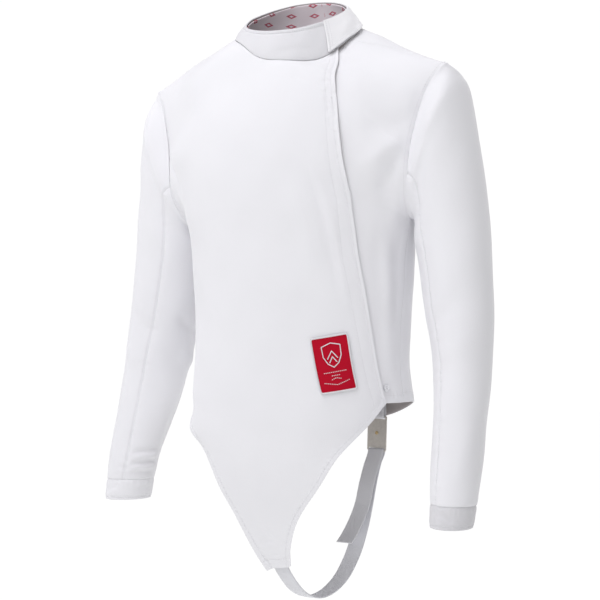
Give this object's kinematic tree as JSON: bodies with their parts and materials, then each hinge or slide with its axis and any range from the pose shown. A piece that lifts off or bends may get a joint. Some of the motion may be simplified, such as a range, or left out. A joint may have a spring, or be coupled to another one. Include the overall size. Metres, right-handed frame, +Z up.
{
  "type": "fencing jacket",
  "caption": "White fencing jacket, filled out as if worn, with a stand collar, a front that crosses to the left hip, and a pointed tongue strapped to the back hem.",
  "frame": {"origin": "halfway between the two shoulder points, where the wearer's shoulders hold the jacket up", "axes": "+Z up, +X to the wearer's left, -Y the way the wearer faces"},
  "size_m": [0.5744, 0.243, 0.7975],
  "materials": {
    "white_cloth": "matt closely woven white cloth",
    "grey_lining": "matt grey lining",
    "red_label": "woven red patch with a white edge",
    "grey_webbing": "ribbed grey webbing",
    "satin_metal": "satin nickel"
  },
  "bodies": {
    "root": {"front_right": "white_cloth", "front_left": "white_cloth", "back": "white_cloth", "sleeve_left_upper": "white_cloth", "sleeve_left_under": "white_cloth", "cuff_left": "white_cloth", "sleeve_right_upper": "white_cloth", "sleeve_right_under": "white_cloth", "cuff_right": "white_cloth", "collar": "white_cloth", "collar_lining": "grey_lining", "collar_tab": "white_cloth", "label": "red_label", "snap": "satin_metal", "strap": "grey_webbing", "strap_loop": "grey_webbing", "buckle": "satin_metal", "buckle_rivet": "satin_metal"}
  },
  "joints": []
}
